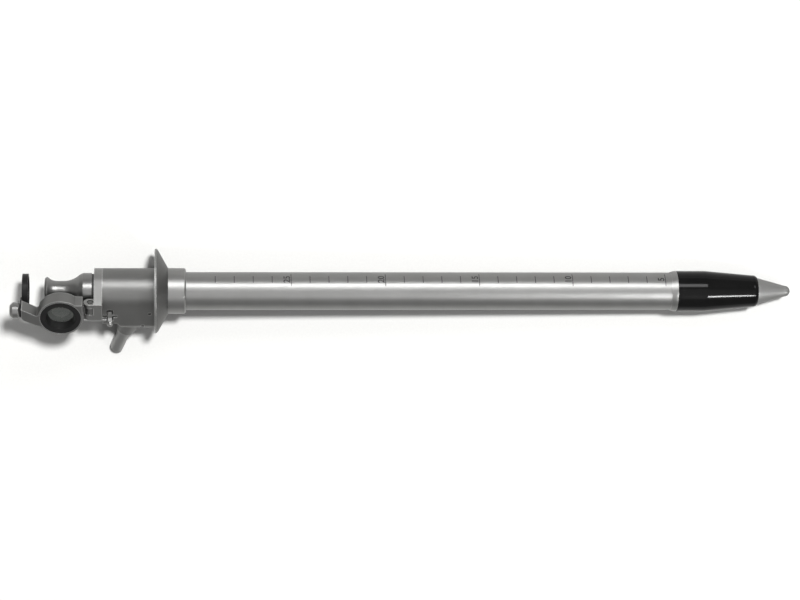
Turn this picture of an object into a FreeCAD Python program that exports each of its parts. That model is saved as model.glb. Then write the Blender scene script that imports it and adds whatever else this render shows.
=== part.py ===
import FreeCAD, Part
import math
import os
import re
import Sketcher

# Operating rectoscope with its obturator in place, in millimetres.
# The instrument's own frame: the sheath's axis is X, with 0 at the end of the black tip and the
# handle towards -X. The light post points to -Z and the swing-out window is on the -Y side.
# The last section lays the whole instrument down on the table, as it comes to rest.

SIZES = {
    # Sheath: a thin tube with a black insulating tip
    "tube_radius": 10.0,
    "tube_wall": 0.6,
    "tube_seat": 8.0,
    "tip_length": 43.9,
    "tip_radius": 10.85,
    "tip_straight": 15.7,
    "tip_end_radius": 8.5,
    "tip_round": 2.4,
    "tip_round_radius": 3.0,
    "mouth_radius": 7.5,
    "mouth_lip": 0.25,
    "mouth_depth": 16.0,
    "mouth_cone": 5.0,
    "ferrule_length": 3.3,
    "ferrule_land": 0.7,
    "ferrule_lip": 0.2,
    # Collar and shield flange, with their places measured from the tip's end
    "collar_from_tip": 306.1,
    "collar_length": 9.4,
    "collar_radius": 12.1,
    "collar_edge": 0.8,
    "flange_depth": 6.0,
    "flange_radius": 22.3,
    "flange_rim": 1.0,
    "flange_shoulder_depth": 5.2,
    "flange_shoulder_radius": 21.4,
    # Head: round on top, flat at the front and back, with the light post under it
    "head_length": 27.4,
    "head_radius": 12.05,
    "head_drop": 17.5,
    "head_corner": 4.5,
    "head_back_drop": 12.3,
    "head_back_length": 7.6,
    "head_back_slope": 4.0,
    "tube_in_head": 6.5,
    "light_ring_width": 5.0,
    "light_ring_depth": 1.6,
    # Light post, leaning towards the handle
    "post_lean": 20.0,
    "post_offset": 6.1,
    "post_reach": 41.1,
    "post_radius": 3.4,
    "post_length": 13.2,
    "post_edge": 0.5,
    "post_collar_radius": 4.3,
    "post_collar_length": 1.4,
    "post_spigot_radius": 2.7,
    "post_spigot_length": 5.0,
    "boss_radius": 4.8,
    "boss_top_radius": 7.05,
    "boss_sink": 2.8,
    "fibre_radius": 1.8,
    "fibre_recess": 0.6,
    # End plate with its hinge fork
    "plate_thickness": 4.3,
    "lug_front": 17.9,
    "lug_top": 5.8,
    "lug_bottom": 4.5,
    "lug_extension": 0.8,
    "pin_front": 15.3,
    "pin_radius": 1.1,
    "pin_recess": 0.15,
    "pin_sink_radius": 1.75,
    "pin_sink_depth": 0.8,
    "pin_clearance": 0.08,
    "knuckle_middle": 1.2,
    "knuckle_height": 4.3,
    "knuckle_gap": 0.15,
    "knuckle_clearance": 0.3,
    "neck_front": 15.9,
    "relief_radius": 0.5,
    "relief_depth": 1.0,
    "relief_from_pin": 0.6,
    "bead_radius": 0.6,
    "bead_sink": 0.2,
    "bead_proud": 0.1,
    "bead_over_head": 2.2,
    # Window frame, swung open beside the handle
    "frame_front": 21.5,
    "frame_thickness": 7.4,
    "frame_radius": 11.6,
    "frame_gap": 0.4,
    "closing_gap": 0.6,
    "frame_lug_top": 8.7,
    "bezel_radius": 10.6,
    "bezel_inner_radius": 7.7,
    "bezel_depth": 4.65,
    "glass_sight_radius": 6.9,
    "glass_radius": 9.6,
    "glass_thickness": 1.5,
    "glass_dome_radius": 6.7,
    "glass_dome_rise": 1.6,
    "gasket_thickness": 0.45,
    "window_fit": 0.05,
    "back_opening_radius": 8.4,
    # Arm that carries the loupe
    "arm_root_top": 8.8,
    "arm_root_bottom": 7.8,
    "arm_bend_from_ring": 12.4,
    "arm_end_from_ring": 20.2,
    "arm_bend_top": 1.4,
    "arm_end_top": 5.9,
    "arm_end_bottom": 1.9,
    "arm_end_bevel": 1.2,
    "arm_bend_bottom": 5.2,
    "arm_screw_radius": 0.8,
    "arm_screw_from_end": 1.7,
    # Loupe on its pivot, with its knob
    "loupe_axis_height": 2.2,
    "loupe_radius": 9.1,
    "loupe_thickness": 3.1,
    "loupe_behind_stem": 0.1,
    "loupe_lip": 0.3,
    "loupe_lens_radius": 7.8,
    "loupe_lens_thickness": 1.0,
    "loupe_lens_rise": 0.6,
    "loupe_clip_width": 0.7,
    "loupe_clip_thickness": 0.3,
    "loupe_eye_radius": 3.7,
    "loupe_stem_width": 3.6,
    "loupe_stem_thickness": 0.7,
    "loupe_stem_gap": 0.2,
    "shaft_radius": 1.1,
    "shaft_clearance": 0.06,
    "shaft_bearing": 3.0,
    "knob_radius": 4.3,
    "knob_length": 5.2,
    "knob_edge": 1.5,
    # Catch lever in the head's front
    "catch_from_plate": 3.9,
    "catch_height": 7.3,
    "catch_pin_radius": 0.55,
    "catch_pin_inset": 0.75,
    "catch_pin_length": 7.6,
    "catch_cross_height": 1.6,
    "catch_slot_width": 3.2,
    "catch_slot_top": 2.9,
    "catch_slot_bottom": 10.2,
    "catch_slot_depth": 2.35,
    "catch_lever_width": 2.2,
    "catch_lever_top": 3.6,
    "catch_lever_proud": 1.2,
    "catch_lever_inner": 0.25,
    "catch_ball_radius": 1.65,
    "catch_ball_height": 10.3,
    "catch_ball_front": 14.3,
    "catch_dimple_radius": 0.55,
    "catch_dimple_depth": 0.4,
    # Grub screws in the head
    "screw_radius": 0.9,
    "screw_length": 2.0,
    "screw_recess": 0.35,
    "screw_slot_width": 0.36,
    "screw_slot_depth": 0.5,
    "screw_from_flange": 2.6,
    "screw_height": 5.6,
    "base_screw_from_flange": 6.4,
    "base_screw_height": 14.2,
    # Obturator: handle, seal, plug, rod, guide and nose
    "seal_thickness": 1.3,
    "seal_radius": 9.0,
    "handle_length": 24.7,
    "handle_rim_radius": 7.4,
    "handle_bead": 1.5,
    "handle_waist_radius": 5.3,
    "handle_front_radius": 9.5,
    "handle_front_length": 4.6,
    "handle_step_radius": 8.5,
    "handle_step_length": 2.0,
    "handle_waist_start": 6.4,
    "handle_waist_end": 9.9,
    "bore_clearance": 0.3,
    "plug_length": 24.0,
    "plug_edge": 1.0,
    "oring_radius": 0.9,
    "oring_from_seal": 10.0,
    "rod_radius": 3.5,
    "rod_seat": 8.0,
    "guide_from_tip": 62.0,
    "guide_length": 6.0,
    "guide_edge": 1.2,
    "nose_length": 18.5,
    "nose_shank": 16.0,
    "nose_round_radius": 2.9,
    # Centimetre scale engraved on the sheath, from the mark for 5
    "mark_first": 50.7,
    "mark_pitch": 10.0,
    "mark_count": 25,
    "long_mark_pitch": 50.0,
    "long_mark_count": 5,
    "mark_width": 0.4,
    "mark_depth": 0.06,
    "mark_turn": 9.3,
    "mark_sweep": 27.0,
    "long_mark_sweep": 48.0,
}

doc = FreeCAD.newDocument("rectoscope")
sheet = doc.addObject("Spreadsheet::Sheet", "Sizes")
for row, (alias, value) in enumerate(SIZES.items(), start=1):
    sheet.set(f"A{row}", alias)
    sheet.set(f"B{row}", str(value))
    sheet.setAlias(f"B{row}", alias)
doc.recompute()

ALIAS = re.compile(r"[a-z_]+")


def bound(formula):
    """The formula with each size read from the sheet."""
    return ALIAS.sub(lambda word: "Sizes." + word[0] if word[0] in SIZES else word[0], formula)


def number(formula):
    """The formula's value in millimetres or degrees."""
    return float(sheet.evalExpression(formula))


# Places along the axis that several pieces share
TUBE_BORE = "(tube_radius - tube_wall)"
COLLAR_BACK = "(collar_from_tip + collar_length)"
FLANGE_BACK = f"({COLLAR_BACK} + flange_depth + flange_rim)"
HEAD_BACK = f"({FLANGE_BACK} + head_length)"
PLATE_BACK = f"({HEAD_BACK} + plate_thickness)"
TUBE_BACK = f"({FLANGE_BACK} + tube_in_head)"
PIN_X = f"({PLATE_BACK} + closing_gap + pin_front - frame_front + frame_thickness)"
LUG_MIDDLE = "((lug_top - lug_bottom) / 2)"
LUG_HEIGHT = "(lug_top + lug_bottom)"
LUG_ROUND = "(lug_front - pin_front)"
RING_X = f"({PIN_X} + pin_front)"
FRAME_MIDDLE = "(frame_front - frame_thickness / 2)"
FRAME_BACK = "(frame_front - frame_thickness)"
FRAME_END = f"({PIN_X} + lug_extension + {LUG_ROUND} + frame_gap)"
POST_X = f"({FLANGE_BACK} + post_offset + post_reach * tan(post_lean))"
BOSS_BOTTOM = "(post_length + post_collar_length)"
BOSS_TOP = "((post_reach - head_drop + boss_sink) / cos(post_lean))"
FIBRE_TOP = (
    f"((post_reach - {TUBE_BORE} - light_ring_depth) / cos(post_lean)"
    " - fibre_radius * tan(post_lean))"
)
HANDLE_FRONT = f"({PLATE_BACK} + seal_thickness)"
PLUG_RADIUS = f"({TUBE_BORE} - bore_clearance)"
ARM_END = f"({RING_X} + arm_end_from_ring)"
STEM_FRONT = f"({ARM_END} + loupe_stem_gap)"
KNOB_FRONT = f"({STEM_FRONT} + loupe_stem_thickness)"
CATCH_X = f"({HEAD_BACK} - catch_from_plate)"
CATCH_PIN_Y = "(head_radius - catch_pin_inset)"


def new_body(label):
    """An empty body for one sub-part."""
    body = doc.addObject("PartDesign::Body", label)
    body.Label = label
    return body


def new_sketch(body, plane, corners, shift=("0", "0", "0"), turn="0"):
    """A closed outline on one of the body's own planes.

    A corner is (across, up), or (across, up, radius, side) when an arc leaves it: side 1 has the
    arc's centre on the left of the way to the next corner, and -1 on the right.
    """
    sketch = body.newObject("Sketcher::SketchObject", "Outline")
    origin_plane = [part for part in body.Origin.OriginFeatures if part.Role == plane][0]
    sketch.AttachmentSupport = [(origin_plane, "")]
    sketch.MapMode = "FlatFace"
    place(sketch, shift, turn)
    points = [FreeCAD.Vector(number(corner[0]), number(corner[1]), 0) for corner in corners]
    count = len(corners)
    starts = []
    for index, corner in enumerate(corners):
        start = points[index]
        end = points[(index + 1) % count]
        if len(corner) == 2:
            sketch.addGeometry(Part.LineSegment(start, end), False)
            starts.append((1, 2))
        else:
            starts.append(add_arc(sketch, index, start, end, corner[2], corner[3]))
    for index in range(count):
        following = (index + 1) % count
        sketch.addConstraint(
            Sketcher.Constraint("Coincident", index, starts[index][1], following, starts[following][0])
        )
    for index, corner in enumerate(corners):
        for kind, formula in (("DistanceX", corner[0]), ("DistanceY", corner[1])):
            bind(sketch, Sketcher.Constraint(kind, -1, 1, index, starts[index][0], number(formula)), formula)
        if len(corner) == 4:
            bind(sketch, Sketcher.Constraint("Radius", index, number(corner[2])), corner[2])
    return sketch


def bind(sketch, constraint, formula):
    """Add a size constraint and tie it to the sheet."""
    index = sketch.addConstraint(constraint)
    sketch.setExpression(f"Constraints[{index}]", bound(formula))


def add_arc(sketch, index, start, end, radius_formula, side):
    """The shorter arc between two corners; returns which of its ends are its start and end."""
    radius = number(radius_formula)
    chord = end - start
    rise = math.sqrt(max(radius ** 2 - chord.Length ** 2 / 4, 0))
    left = FreeCAD.Vector(-chord.y, chord.x, 0).normalize()
    centre = (start + end) * 0.5 + left * rise * side
    first, last = (start, end) if side > 0 else (end, start)
    first_angle = math.atan2(first.y - centre.y, first.x - centre.x)
    last_angle = math.atan2(last.y - centre.y, last.x - centre.x)
    if last_angle < first_angle:
        last_angle += 2 * math.pi
    circle = Part.Circle(centre, FreeCAD.Vector(0, 0, 1), radius)
    sketch.addGeometry(Part.ArcOfCircle(circle, first_angle, last_angle), False)
    return (1, 2) if side > 0 else (2, 1)


def place(sketch, shift, turn="0"):
    """Shift a sketch along its plane's axes and turn it about its normal."""
    sketch.AttachmentOffset = FreeCAD.Placement(
        FreeCAD.Vector(*[number(formula) for formula in shift]),
        FreeCAD.Rotation(FreeCAD.Vector(0, 0, 1), number(turn)),
    )
    for axis, formula in zip("xyz", shift):
        if formula != "0":
            sketch.setExpression(f"AttachmentOffset.Base.{axis}", bound(formula))
    if turn != "0":
        sketch.setExpression("AttachmentOffset.Rotation.Angle", bound(turn))


def new_circle(body, plane, radius, shift):
    """A circle at the sketch's own origin, moved by the sketch's shift."""
    sketch = body.newObject("Sketcher::SketchObject", "Circle")
    origin_plane = [part for part in body.Origin.OriginFeatures if part.Role == plane][0]
    sketch.AttachmentSupport = [(origin_plane, "")]
    sketch.MapMode = "FlatFace"
    place(sketch, shift)
    circle = Part.Circle(FreeCAD.Vector(0, 0, 0), FreeCAD.Vector(0, 0, 1), number(radius))
    sketch.addGeometry(circle, False)
    sketch.addConstraint(Sketcher.Constraint("Coincident", 0, 3, -1, 1))
    bind(sketch, Sketcher.Constraint("Radius", 0, number(radius)), radius)
    return sketch


def spin(body, kind, sketch, axis="H_Axis"):
    """Turn an outline fully round one of its sketch's axes, adding or cutting."""
    feature = body.newObject(f"PartDesign::{kind}", kind)
    feature.Profile = sketch
    feature.ReferenceAxis = (sketch, [axis])
    feature.Angle = 360
    body.Tip = feature
    return feature


def extrude(body, kind, sketch, width):
    """Extend an outline by half the width to each side of its plane, adding or cutting."""
    feature = body.newObject(f"PartDesign::{kind}", kind)
    feature.Profile = sketch
    feature.Midplane = True
    feature.setExpression("Length", bound(width))
    body.Tip = feature
    return feature


def turned(label, corners, plane="XZ_Plane", shift=("0", "0", "0"), turn="0", axis="H_Axis"):
    """A sub-part turned from one outline."""
    body = new_body(label)
    spin(body, "Revolution", new_sketch(body, plane, corners, shift, turn), axis)
    return body


def ring(label, start, end, inner, outer, plane="XZ_Plane", shift=("0", "0", "0"), turn="0", axis="H_Axis"):
    """A plain ring or disc between two places along its axis."""
    along_across = [(start, inner), (end, inner), (end, outer), (start, outer)]
    if axis == "V_Axis":
        along_across = [(across, along) for along, across in along_across]
    return turned(label, along_across, plane, shift, turn, axis)


def sheath_tube():
    """Thin tube from the black tip into the head, engraved with a centimetre scale."""
    body = ring("sheath_tube", "-(tip_length - tube_seat)", f"-{TUBE_BACK}", TUBE_BORE, "tube_radius")
    engrave(body, "mark_sweep", "mark_pitch", "mark_count")
    engrave(body, "long_mark_sweep", "long_mark_pitch", "long_mark_count")
    return body


def engrave(body, sweep, pitch, count):
    """Marks across the top of the tube, one every pitch from the first."""
    floor = "(tube_radius - mark_depth)"
    mark = new_sketch(body, "XZ_Plane", [
        ("-(mark_first - mark_width / 2)", floor),
        ("-(mark_first + mark_width / 2)", floor),
        ("-(mark_first + mark_width / 2)", "tube_radius + mark_depth"),
        ("-(mark_first - mark_width / 2)", "tube_radius + mark_depth"),
    ])
    mark.AttachmentOffset = FreeCAD.Placement(
        FreeCAD.Vector(0, 0, 0), FreeCAD.Rotation(FreeCAD.Vector(1, 0, 0), number("mark_turn"))
    )
    mark.setExpression("AttachmentOffset.Rotation.Angle", bound("mark_turn"))
    cut = spin(body, "Groove", mark)
    cut.Midplane = True
    cut.setExpression("Angle", bound(sweep))
    row = body.newObject("PartDesign::LinearPattern", "Scale")
    row.Originals = [cut]
    row.Direction = (mark, ["H_Axis"])
    row.Reversed = True
    row.Occurrences = round(number(count))
    row.setExpression("Length", bound(f"{pitch} * ({count} - 1)"))
    row.setExpression("Occurrences", bound(count))
    body.Tip = row


def dome_radius(edge, rise):
    """The sphere's radius of a dome with that radius at its edge and that rise in its middle."""
    return f"(({edge} ^ 2 + {rise} ^ 2) / (2 * {rise}))"


def insulating_tip():
    """Black tip over the tube's end, tapering to the rounded mouth."""
    return turned("insulating_tip", [
        ("0", "mouth_radius"),
        ("-mouth_depth", "mouth_radius"),
        ("-(mouth_depth + mouth_cone)", TUBE_BORE),
        ("-(tip_length - tube_seat)", TUBE_BORE),
        ("-(tip_length - tube_seat)", "tube_radius"),
        ("-tip_length", "tube_radius"),
        ("-tip_length", "tip_radius"),
        ("-(tip_length - tip_straight)", "tip_radius"),
        ("-tip_round", "tip_end_radius", "tip_round_radius", -1),
        ("0", "mouth_radius + mouth_lip"),
    ])


def tip_ferrule():
    """Flared metal ring where the tube meets the black tip."""
    return turned("tip_ferrule", [
        ("-tip_length", "tube_radius"),
        ("-(tip_length + ferrule_length)", "tube_radius"),
        ("-(tip_length + ferrule_length)", "tube_radius + ferrule_lip"),
        ("-(tip_length + ferrule_land)", "tip_radius"),
        ("-tip_length", "tip_radius"),
    ])


def collar():
    """Stepped collar in front of the flange."""
    return turned("collar", [
        ("-collar_from_tip", "tube_radius"),
        ("-collar_from_tip", "collar_radius - collar_edge"),
        ("-(collar_from_tip + collar_edge)", "collar_radius"),
        (f"-{COLLAR_BACK}", "collar_radius"),
        (f"-{COLLAR_BACK}", "tube_radius"),
    ])


def shield_flange():
    """Conical shield that opens towards the head."""
    return turned("shield_flange", [
        (f"-{COLLAR_BACK}", "tube_radius"),
        (f"-{COLLAR_BACK}", "collar_radius"),
        (f"-({COLLAR_BACK} + flange_shoulder_depth)", "flange_shoulder_radius"),
        (f"-({COLLAR_BACK} + flange_depth)", "flange_radius"),
        (f"-{FLANGE_BACK}", "flange_radius"),
        (f"-{FLANGE_BACK}", "tube_radius"),
    ])


def head_housing():
    """Head with a round top, flat sides, a rounded base and an inclined boss for the light post."""
    body = new_body("head_housing")
    straight = "(head_drop - head_corner)"
    inner = "(head_radius - head_corner)"
    middle = f"-({FLANGE_BACK} + head_length / 2)"
    section = new_sketch(body, "YZ_Plane", [
        ("-head_radius", "0"),
        ("-head_radius", f"-{straight}", "head_corner", 1),
        (f"-{inner}", "-head_drop"),
        (inner, "-head_drop", "head_corner", 1),
        ("head_radius", f"-{straight}"),
        ("head_radius", "0", "head_radius", 1),
        ("0", "head_radius", "head_radius", 1),
    ], shift=("0", "0", middle))
    extrude(body, "Pad", section, "head_length")
    # The base is cut away at the back, towards the end plate
    cut = new_sketch(body, "XZ_Plane", [
        (f"-({HEAD_BACK} + head_back_slope)", "-head_back_drop"),
        (f"-({HEAD_BACK} - head_back_length)", "-head_back_drop"),
        (f"-({HEAD_BACK} - head_back_length - head_back_slope)", "-head_drop - 1"),
        (f"-({HEAD_BACK} + head_back_slope)", "-head_drop - 1"),
    ])
    extrude(body, "Pocket", cut, "head_radius * 3")
    # Inclined boss about the light post's axis
    boss = new_sketch(body, "XZ_Plane", [
        ("0", BOSS_BOTTOM),
        ("boss_radius", BOSS_BOTTOM),
        ("boss_top_radius", BOSS_TOP),
        ("0", BOSS_TOP),
    ], shift=(f"-{POST_X}", "-post_reach", "0"), turn="-post_lean")
    spin(body, "Revolution", boss, "V_Axis")
    # Bore for the obturator, seat for the tube and chamber for the light ring
    chamber_back = f"({TUBE_BACK} + light_ring_width)"
    bore = new_sketch(body, "XZ_Plane", [
        (f"-{FLANGE_BACK}", "0"),
        (f"-{FLANGE_BACK}", "tube_radius"),
        (f"-{TUBE_BACK}", "tube_radius"),
        (f"-{TUBE_BACK}", f"{TUBE_BORE} + light_ring_depth"),
        (f"-{chamber_back}", f"{TUBE_BORE} + light_ring_depth"),
        (f"-{chamber_back}", TUBE_BORE),
        (f"-{HEAD_BACK}", TUBE_BORE),
        (f"-{HEAD_BACK}", "0"),
    ])
    spin(body, "Groove", bore)
    # Hole for the post's spigot and the fibre bundle
    hole = new_sketch(body, "XZ_Plane", post_hole_corners(),
                      shift=(f"-{POST_X}", "-post_reach", "0"), turn="-post_lean")
    spin(body, "Groove", hole, "V_Axis")
    # Upright slot for the catch lever, with a cross slot for its pin
    upright = new_sketch(body, "XZ_Plane", [
        (f"-({CATCH_X} + catch_slot_width / 2)", "-catch_slot_top"),
        (f"-({CATCH_X} + catch_slot_width / 2)", "-catch_slot_bottom"),
        (f"-({CATCH_X} - catch_slot_width / 2)", "-catch_slot_bottom"),
        (f"-({CATCH_X} - catch_slot_width / 2)", "-catch_slot_top"),
    ], shift=("0", "0", "head_radius"))
    extrude(body, "Pocket", upright, "catch_slot_depth * 2")
    cross = new_sketch(body, "XZ_Plane", [
        (f"-({CATCH_X} + catch_pin_length / 2)", "-(catch_height + catch_cross_height / 2)"),
        (f"-({CATCH_X} - catch_pin_length / 2)", "-(catch_height + catch_cross_height / 2)"),
        (f"-({CATCH_X} - catch_pin_length / 2)", "-(catch_height - catch_cross_height / 2)"),
        (f"-({CATCH_X} + catch_pin_length / 2)", "-(catch_height - catch_cross_height / 2)"),
    ], shift=("0", "0", "head_radius"))
    extrude(body, "Pocket", cross, "(catch_pin_inset + catch_pin_radius) * 2")
    # Holes for the two grub screws
    for shift in screw_places():
        hole = new_circle(body, "XZ_Plane", "screw_radius", shift)
        extrude(body, "Pocket", hole, "(screw_length + screw_recess) * 2")
    return body


def post_hole_corners():
    """Outline, about the post's axis, of the hole for its spigot and its fibre bundle."""
    return [
        ("0", BOSS_BOTTOM),
        ("post_spigot_radius", BOSS_BOTTOM),
        ("post_spigot_radius", f"{BOSS_BOTTOM} + post_spigot_length"),
        ("fibre_radius", f"{BOSS_BOTTOM} + post_spigot_length"),
        ("fibre_radius", FIBRE_TOP),
        ("0", FIBRE_TOP),
    ]


def screw_places():
    """Places of the two grub screws in the head's flat front."""
    upper = (f"-({FLANGE_BACK} + screw_from_flange)", "-screw_height", "head_radius")
    lower = (f"-({FLANGE_BACK} + base_screw_from_flange)", "-base_screw_height", "head_radius")
    return [upper, lower]


def grub_screw(label, place_in_head):
    """Grub screw with a slot, sunk in the head's flat front."""
    across, up, front = place_in_head
    body = ring(label, f"-({front} - screw_recess)", f"-({front} - screw_recess - screw_length)",
                "0", "screw_radius", plane="XY_Plane", shift=(across, "0", up), axis="V_Axis")
    slot = new_sketch(body, "XY_Plane", [
        ("-screw_slot_width / 2", f"-({front} - screw_recess + screw_slot_depth)"),
        ("screw_slot_width / 2", f"-({front} - screw_recess + screw_slot_depth)"),
        ("screw_slot_width / 2", f"-({front} - screw_recess - screw_slot_depth)"),
        ("-screw_slot_width / 2", f"-({front} - screw_recess - screw_slot_depth)"),
    ], shift=(across, "0", up))
    extrude(body, "Pocket", slot, "screw_radius * 3")
    return body


def flange_screw():
    """Grub screw beside the flange."""
    return grub_screw("flange_screw", screw_places()[0])


def base_screw():
    """Grub screw above the head's base."""
    return grub_screw("base_screw", screw_places()[1])


def light_post():
    """Turned post with a collar and a spigot in the head."""
    return turned("light_post", [
        ("fibre_radius", "0"),
        ("post_radius - post_edge", "0"),
        ("post_radius", "post_edge"),
        ("post_radius", "post_length"),
        ("post_collar_radius", "post_length"),
        ("post_collar_radius", BOSS_BOTTOM),
        ("post_spigot_radius", BOSS_BOTTOM),
        ("post_spigot_radius", f"{BOSS_BOTTOM} + post_spigot_length"),
        ("fibre_radius", f"{BOSS_BOTTOM} + post_spigot_length"),
    ], shift=(f"-{POST_X}", "-post_reach", "0"), turn="-post_lean", axis="V_Axis")


def fibre_bundle():
    """Glass fibre bundle from the post's end to the light ring."""
    return ring("fibre_bundle", "fibre_recess", FIBRE_TOP, "0", "fibre_radius",
                shift=(f"-{POST_X}", "-post_reach", "0"), turn="-post_lean", axis="V_Axis")


def light_ring():
    """Ring of fibre ends round the bore, which lights the sheath from inside the head."""
    return ring("light_ring", f"-{TUBE_BACK}", f"-({TUBE_BACK} + light_ring_width)",
                TUBE_BORE, f"{TUBE_BORE} + light_ring_depth")


def tangent_point(across, up, side):
    """Where the line from an outer point touches the head's circle, as two formulas."""
    angle = (f"(atan2({up}; {across}) + {side} * acos(head_radius / hypot({across}; {up})))")
    return f"head_radius * cos({angle})", f"head_radius * sin({angle})"


def end_plate():
    """Drop-shaped plate on the head's back, with the fork of the window's hinge."""
    body = new_body("end_plate")
    upper = tangent_point("-lug_front", "lug_top", "-1")
    lower = tangent_point("-lug_front", "-lug_bottom", "1")
    section = new_sketch(body, "YZ_Plane", [
        ("-lug_front", "lug_top"),
        ("-lug_front", "-lug_bottom"),
        (*lower, "head_radius", 1),
        ("head_radius", "0", "head_radius", 1),
        upper,
    ], shift=("0", "0", f"-({HEAD_BACK} + plate_thickness / 2)"))
    extrude(body, "Pad", section, "plate_thickness")
    fork = new_sketch(body, "XY_Plane", [
        (f"-({PLATE_BACK} - plate_thickness / 2)", "-lug_front"),
        (f"-({PLATE_BACK} - plate_thickness / 2)", f"-(pin_front - {LUG_ROUND})"),
        (f"-({PIN_X} + lug_extension)", f"-(pin_front - {LUG_ROUND})", LUG_ROUND, 1),
        (f"-({PIN_X} + lug_extension + {LUG_ROUND})", "-pin_front", LUG_ROUND, 1),
        (f"-({PIN_X} + lug_extension)", "-lug_front"),
    ], shift=("0", "0", LUG_MIDDLE))
    extrude(body, "Pad", fork, LUG_HEIGHT)
    slot_reach = f"({LUG_ROUND} + knuckle_clearance)"
    slot = new_sketch(body, "XY_Plane", [
        (f"-({PIN_X} + {slot_reach} + lug_extension)", f"-(pin_front + {slot_reach})"),
        (f"-{PIN_X}", f"-(pin_front + {slot_reach})", slot_reach, 1),
        (f"-({PIN_X} - {slot_reach})", "-pin_front", slot_reach, 1),
        (f"-{PIN_X}", f"-(pin_front - {slot_reach})"),
        (f"-({PIN_X} + {slot_reach} + lug_extension)", f"-(pin_front - {slot_reach})"),
    ], shift=("0", "0", "knuckle_middle"))
    extrude(body, "Pocket", slot, "knuckle_height + knuckle_gap * 2")
    # Hole for the pin, wider at the fork's top and bottom
    pin_hole = new_circle(body, "XY_Plane", "pin_radius", (f"-{PIN_X}", "-pin_front", LUG_MIDDLE))
    extrude(body, "Pocket", pin_hole, f"{LUG_HEIGHT} * 2")
    for end in ("lug_top", "-lug_bottom"):
        sink = new_circle(body, "XY_Plane", "pin_sink_radius", (f"-{PIN_X}", "-pin_front", end))
        extrude(body, "Pocket", sink, "pin_sink_depth * 2")
    # Two small holes in the fork's front, at the corners of the knuckle's slot
    for side in ("+", "-"):
        height = f"knuckle_middle {side} (knuckle_height / 2 + knuckle_gap)"
        relief = new_circle(body, "XZ_Plane", "relief_radius",
                            (f"-({PIN_X} - relief_from_pin)", height, "lug_front"))
        extrude(body, "Pocket", relief, "relief_depth * 2")
    # Round bead along the fork's lower edge, a little longer than the plate is thick
    bead = new_sketch(body, "XZ_Plane", [
        (f"-({HEAD_BACK} - bead_over_head)", "0"),
        (f"-({HEAD_BACK} - bead_over_head)", "bead_radius"),
        (f"-({PIN_X} + lug_extension + {LUG_ROUND})", "bead_radius"),
        (f"-({PIN_X} + lug_extension + {LUG_ROUND})", "0"),
    ], shift=("0", "-(lug_bottom + bead_radius - bead_sink)", "lug_front + bead_proud - bead_radius"))
    spin(body, "Revolution", bead)
    bore = new_circle(body, "YZ_Plane", TUBE_BORE, ("0", "0", f"-({HEAD_BACK} + plate_thickness / 2)"))
    extrude(body, "Pocket", bore, "plate_thickness * 2")
    return body


def hinge_pin():
    """Pin through the fork and the frame's knuckle."""
    return ring("hinge_pin", "-(lug_bottom - pin_recess)", "lug_top - pin_recess", "0", "pin_radius",
                shift=(f"-{PIN_X}", "0", "pin_front"), axis="V_Axis")


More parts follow.
